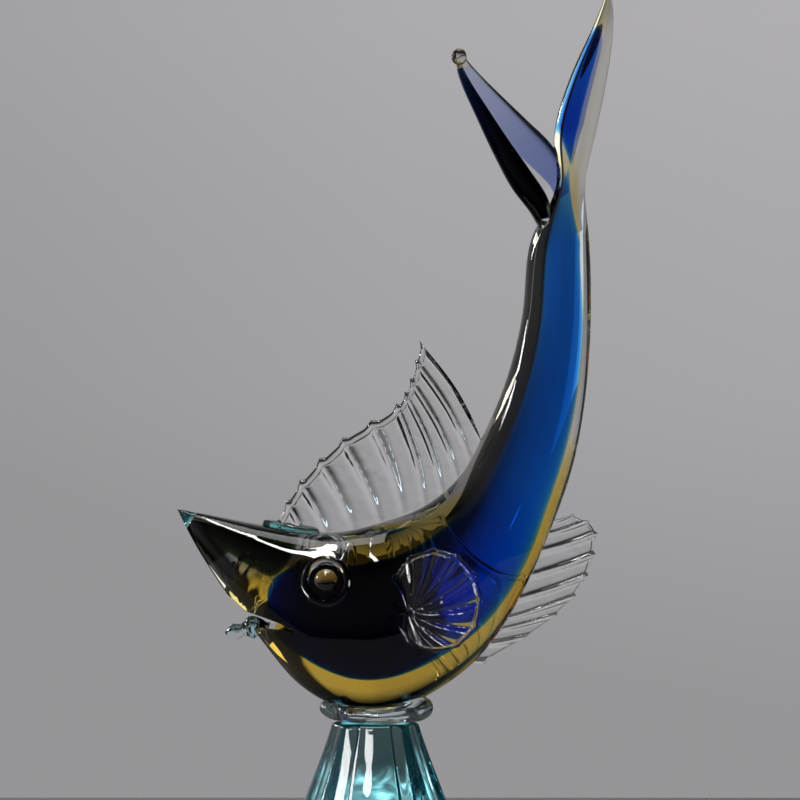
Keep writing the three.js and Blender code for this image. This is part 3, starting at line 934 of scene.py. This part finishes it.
def brow_thread():
    """A horseshoe of aquamarine thread over the brow, open to the back."""
    front, back, half_width, radius = -51, -26, 5.5, 2.0
    crest, fall = 157, 0.13
    middle = (front + back) / 2
    side_z = crest - fall * (middle - front) - 0.5
    end_z = crest - fall * (back - front) - 1
    corners = [
        (back, half_width, end_z),
        (middle, half_width, side_z),
        (front, 0, crest),
        (middle, -half_width, side_z),
        (back, -half_width, end_z),
    ]
    s = end_spacing(100)
    rings = round_tube(smooth_curve(corners, s), radius * dome(s, 20), 24)
    add_piece("brow_trail", [closed_tube(rings)], [TEAL_GLASS], ["brow_thread"])


# ------------------------------------------------------------------------------------------------
# Studio


def math_node(tree, operation, *inputs):
    """The output of a maths node, whose inputs are numbers or sockets."""
    node = tree.nodes.new("ShaderNodeMath")
    node.operation = operation
    for number, value in enumerate(inputs):
        if hasattr(value, "links"):
            tree.links.new(value, node.inputs[number])
        else:
            node.inputs[number].default_value = value
    return node.outputs["Value"]


TABLE_GREY = (0.18, 0.177, 0.18)


def plain_material(name, color, roughness=0.6):
    material = bpy.data.materials.new(name)
    material.use_nodes = True
    shader = material.node_tree.nodes["Principled BSDF"]
    shader.inputs["Base Color"].default_value = (*color, 1)
    shader.inputs["Roughness"].default_value = roughness
    return material


def patch_mask(tree, centre, radii):
    """1 in the middle of an elliptical patch of the table top and 0 from its edge on."""
    place = tree.nodes.new("ShaderNodeTexCoord")
    offset = tree.nodes.new("ShaderNodeMapping")
    offset.inputs["Location"].default_value = [-c / r for c, r in zip(centre, radii)] + [0]
    offset.inputs["Scale"].default_value = [1 / r for r in radii] + [0]
    distance = tree.nodes.new("ShaderNodeVectorMath")
    distance.operation = "LENGTH"
    tree.links.new(place.outputs["Object"], offset.inputs["Vector"])
    tree.links.new(offset.outputs["Vector"], distance.inputs[0])
    inside = math_node(tree, "SUBTRACT", 1.0, distance.outputs["Value"])
    return math_node(tree, "MAXIMUM", inside, 0.0)


# Painted shadow: a darker patch in the table's own colour behind the foot, which no lamp casts
SHADOW_CENTRE, SHADOW_RADII = (0.0, 0.1), (0.14, 0.14)
# Painted light: a streaky cyan glow that the table emits behind the foot, standing in for light the
# foot gathers; it is no lamp
GLOW_CENTRE, GLOW_RADII = (-0.005, 0.056), (0.042, 0.034)
SHADOW_LEFT = 0.4  # of the grey, in the darkest part of the shadow
GLOW_COLOR = (0.75, 1.0, 1.0, 1)
GLOW_GAIN, GLOW_CONTRAST, GLOW_FALL = 2.2, 4.0, 1.8


def table_paint():
    """Mid grey, with a painted shadow behind the foot and a painted glow for the light that the foot
    would gather; no lamp casts either.
    """
    material = plain_material("table_paint", TABLE_GREY)
    tree = material.node_tree
    shader = tree.nodes["Principled BSDF"]
    # Painted shadow: the grey is darkened inside the patch
    shadow = tree.nodes.new("ShaderNodeValToRGB")
    shadow.color_ramp.elements[0].color = (*TABLE_GREY, 1)
    shadow.color_ramp.elements[1].position = 0.5
    shadow.color_ramp.elements[1].color = (*[SHADOW_LEFT * value for value in TABLE_GREY], 1)
    tree.links.new(patch_mask(tree, SHADOW_CENTRE, SHADOW_RADII), shadow.inputs["Fac"])
    tree.links.new(shadow.outputs["Color"], shader.inputs["Base Color"])
    # Painted light: noise streaks of emission in the table's own material, inside the glow patch
    place = tree.nodes.new("ShaderNodeTexCoord")
    glow_streaks = tree.nodes.new("ShaderNodeTexNoise")
    glow_streaks.inputs["Scale"].default_value = 55.0
    glow_streaks.inputs["Distortion"].default_value = 1.5
    tree.links.new(place.outputs["Object"], glow_streaks.inputs["Vector"])
    glow = math_node(tree, "MULTIPLY", glow_streaks.outputs["Fac"], GLOW_GAIN)
    glow = math_node(tree, "POWER", glow, GLOW_CONTRAST)
    soft_edge = math_node(tree, "POWER", patch_mask(tree, GLOW_CENTRE, GLOW_RADII), GLOW_FALL)
    glow = math_node(tree, "MULTIPLY", glow, soft_edge)
    shader.inputs["Emission Color"].default_value = GLOW_COLOR
    tree.links.new(glow, shader.inputs["Emission Strength"])
    return material


def table():
    """A grey table top. The fish stands near its far edge, which just shows at the foot."""
    near, far, half_width, thickness = -0.4, 0.25, 0.4, 0.03
    box = bmesh.new()
    bmesh.ops.create_cube(box, size=1)
    for vertex in box.verts:
        vertex.co.x *= 2 * half_width
        vertex.co.y = near if vertex.co.y < 0 else far
        vertex.co.z = -0.0002 if vertex.co.z > 0 else -thickness
    bmesh.ops.bevel(box, geom=box.edges[:], offset=0.003, segments=3, affect="EDGES")
    mesh = bpy.data.meshes.new("table")
    box.to_mesh(mesh)
    box.free()
    mesh.materials.append(table_paint())
    top = bpy.data.objects.new("table", mesh)
    bpy.context.scene.collection.objects.link(top)


LAMP_TARGET = Vector((0.0, 0.0, 0.18))  # in the belly


def softbox(name, ends, width, radiance, color=(1, 1, 1), mirrored=True, through=True, lit=()):
    """A long soft light between two ends, turned to the fish and hidden from the camera.

    mirrored is whether polished glass reflects it, through whether it is seen through glass, and
    lit names the only pieces it lights, if there are any.
    """
    first, last = Vector(ends[0]), Vector(ends[1])
    middle, length = (first + last) / 2, (last - first).length
    long_way = (last - first).normalized()
    facing = LAMP_TARGET - middle
    facing = (facing - facing.dot(long_way) * long_way).normalized()
    data = bpy.data.lights.new(name, "AREA")
    data.shape = "RECTANGLE"
    data.size = length
    data.size_y = width
    data.energy = radiance * math.pi * length * width
    data.color = color
    lamp = bpy.data.objects.new(name, data)
    bpy.context.scene.collection.objects.link(lamp)
    lamp.matrix_world = Matrix((long_way, long_way.cross(facing), -facing)).transposed().to_4x4()
    lamp.location = middle
    lamp.visible_camera = False
    lamp.visible_glossy = mirrored
    lamp.visible_transmission = through
    if lit:
        receivers = bpy.data.collections.new(name + "_lit")
        for piece in lit:
            receivers.objects.link(bpy.data.objects[piece])
        lamp.light_linking.receiver_collection = receivers


def ramp_of(tree, socket, stops):
    """A grey ramp over socket, given as (position from 0 to 1, brightness)."""
    ramp = tree.nodes.new("ShaderNodeValToRGB")
    elements = ramp.color_ramp.elements
    while len(elements) > 1:
        elements.remove(elements[0])
    elements[0].position, elements[0].color = stops[0][0], (*[stops[0][1]] * 3, 1)
    for position, value in stops[1:]:
        elements.new(position).color = (value, value, value, 1)
    tree.links.new(socket, ramp.inputs["Fac"])
    return ramp.outputs["Color"]


WALL = (0.360, 0.352, 0.362)
BACKDROP_LEAST = 0.85  # the room's darker corners only show in the glass, never behind it
# How bright the room round the fish is: degrees to the right of the wall straight behind it
ROOM_AROUND = [
    (-180, 0.1),
    (-138, 0.2),
    (-118, 0.9),
    (-5, 0.87),
    (0, 1.0),
    (5, 1.06),
    (16, 1.06),
    (19, 0.03),
    (120, 0.03),
    (180, 0.12),
]
# and the sine of the height that a look into the room goes up
ROOM_UP = [
    (-1.0, 0.05),
    (-0.3, 0.05),
    (-0.2, 0.4),
    (-0.111, 0.764),
    (-0.074, 0.872),
    (-0.035, 1.005),
    (0.004, 1.07),
    (0.041, 1.147),
    (0.5, 1.0),
    (0.75, 0.2),
    (1.0, 0.1),
]


def grey_room():
    """A room that is lit unevenly for the glass and plain grey for the camera."""
    world = bpy.data.worlds.new("room")
    bpy.context.scene.world = world
    world.use_nodes = True
    tree = world.node_tree
    place = tree.nodes.new("ShaderNodeTexCoord")
    split = tree.nodes.new("ShaderNodeSeparateXYZ")
    tree.links.new(place.outputs["Generated"], split.inputs["Vector"])
    turn = math_node(tree, "ARCTAN2", split.outputs["X"], split.outputs["Y"])
    turn = math_node(tree, "MULTIPLY_ADD", turn, 1 / (2 * math.pi), 0.5)
    around = ramp_of(tree, turn, [(0.5 + degrees / 360, value) for degrees, value in ROOM_AROUND])
    lift = math_node(tree, "MULTIPLY_ADD", split.outputs["Z"], 0.5, 0.5)
    up = ramp_of(tree, lift, [(0.5 + sine / 2, value) for sine, value in ROOM_UP])
    brightness = math_node(tree, "MULTIPLY", around, up)
    rays = tree.nodes.new("ShaderNodeLightPath")
    seen = math_node(tree, "MULTIPLY", rays.outputs["Is Camera Ray"], BACKDROP_LEAST)
    brightness = math_node(tree, "MAXIMUM", brightness, seen)
    tree.links.new(brightness, tree.nodes["Background"].inputs["Strength"])
    tree.nodes["Background"].inputs["Color"].default_value = (*WALL, 1)


COOL = (0.6, 0.8, 1.0)
AQUA = (0.6, 0.9, 1.0)
CREAM = (1, 0.96, 0.82)
PALE_CREAM = (1, 0.98, 0.82)
GREENISH = (0.75, 0.9, 0.6)


def window_lights():
    """The windows and the ceiling, which light everything and show in the polished glass."""
    softbox("overhead_strip", ((-0.34, -1.15, 1.6), (-0.19, -0.36, 1.6)), 0.045, 30.0)
    softbox("overhead_end", ((-0.19, -0.34, 1.6), (-0.16, 0.2, 1.6)), 0.09, 30.0)
    softbox("left_window", ((-1.5, 0.66, 0.55), (-1.5, 0.14, 0.92)), 0.1, 22.0, through=False)
    softbox("tail_window", ((-1.5, 1.4, 0.86), (-1.5, 0.35, 0.80)), 0.2, 12.0, CREAM, through=False)
    softbox("low_window", ((-1.25, 1.6, 0.05), (-0.5, 1.6, 0.05)), 0.18, 0.2, COOL, mirrored=False)
    softbox("low_corner", ((-1.25, 1.58, 0.05), (-0.85, 1.58, 0.05)), 0.18, 0.35, COOL, mirrored=False)
    softbox("gap", ((-0.3, 1.57, 0.0), (-0.3, 1.57, 0.062)), 0.035, 1.4, AQUA, mirrored=False)
    softbox("ceiling", ((-0.6, 0.3, 2.2), (0.6, 0.3, 2.2)), 1.2, 3.0)


def piece_lights():
    """Cards and small lamps, of which all but the dark streak light one or two pieces only."""
    softbox("right_wall", ((0.45, 1.4, 0.3), (1.3, 0.9, 0.3)), 1.0, 0.12, through=False, lit=["casing"])
    softbox("dark_streak", ((1.3, 1.4, -0.4), (1.3, 1.4, 0.5)), 0.06, 0.16, GREENISH, mirrored=False)
    card = ((0.3, 0.46, 0.285), (0.56, 0.17, 0.285))
    softbox("tail_card", card, 0.1, 1.1, PALE_CREAM, mirrored=False, lit=["casing"])
    card = ((0.28, 0.77, 0.36), (0.8, 0.35, 0.36))
    softbox("lobe_card", card, 0.5, 0.36, mirrored=False, lit=["front_lobe"])
    lamp = ((-0.95, -0.55, 0.5), (-0.16, -1.02, 0.66))
    softbox("foot_left", lamp, 0.12, 18.0, through=False, lit=["foot_block", "collar_ring"])
    left, right = ((-0.9, -0.9, -0.15), (-1.1, 0.0, -0.1)), ((0.9, -0.7, 0.3), (1.0, -0.2, 0.1))
    softbox("eye_left", left, 0.4, 20.0, through=False, lit=["eye_thread_near"])
    softbox("eye_right", right, 0.3, 14.0, through=False, lit=["eye_thread_near"])
    softbox("fin_left", left, 0.15, 30.0, through=False, lit=["pectoral_near"])
    softbox("fin_right", right, 0.1, 20.0, through=False, lit=["pectoral_near"])
    lamp = ((-0.5, -1.0, 1.3), (0.5, -1.0, 1.3))
    softbox("anal_top", lamp, 0.1, 25.0, through=False, lit=["anal_fin_glass"])


def studio():
    grey_room()
    table()
    window_lights()
    piece_lights()


def render_settings():
    scene = bpy.context.scene
    scene.cycles.max_bounces = 40
    scene.cycles.transmission_bounces = 40
    scene.cycles.glossy_bounces = 12
    scene.cycles.diffuse_bounces = 3
    scene.cycles.transparent_max_bounces = 16
    scene.cycles.volume_bounces = 0
    scene.cycles.sample_clamp_indirect = 6.0
    scene.cycles.use_denoising = True
    scene.view_settings.view_transform = "Standard"
    scene.view_settings.look = "None"


# ------------------------------------------------------------------------------------------------

foot()
collar()
beak_tip()
amber()
cobalt()
brow_thread()
clear_pieces = [casing(), front_lobe()]
front_lobe_core()
front_lobe_bead()
clear_pieces += [
    dorsal_fin(),
    anal_fin(),
    pectoral_fin("pectoral_near", 1, "pectoral_fin_near"),
    pectoral_fin("pectoral_far", -1, "pectoral_fin_far"),
    eye("near", -1),
    eye("far", 1),
    lower_lip(),
]
fuse(clear_pieces)
studio()
render_settings()
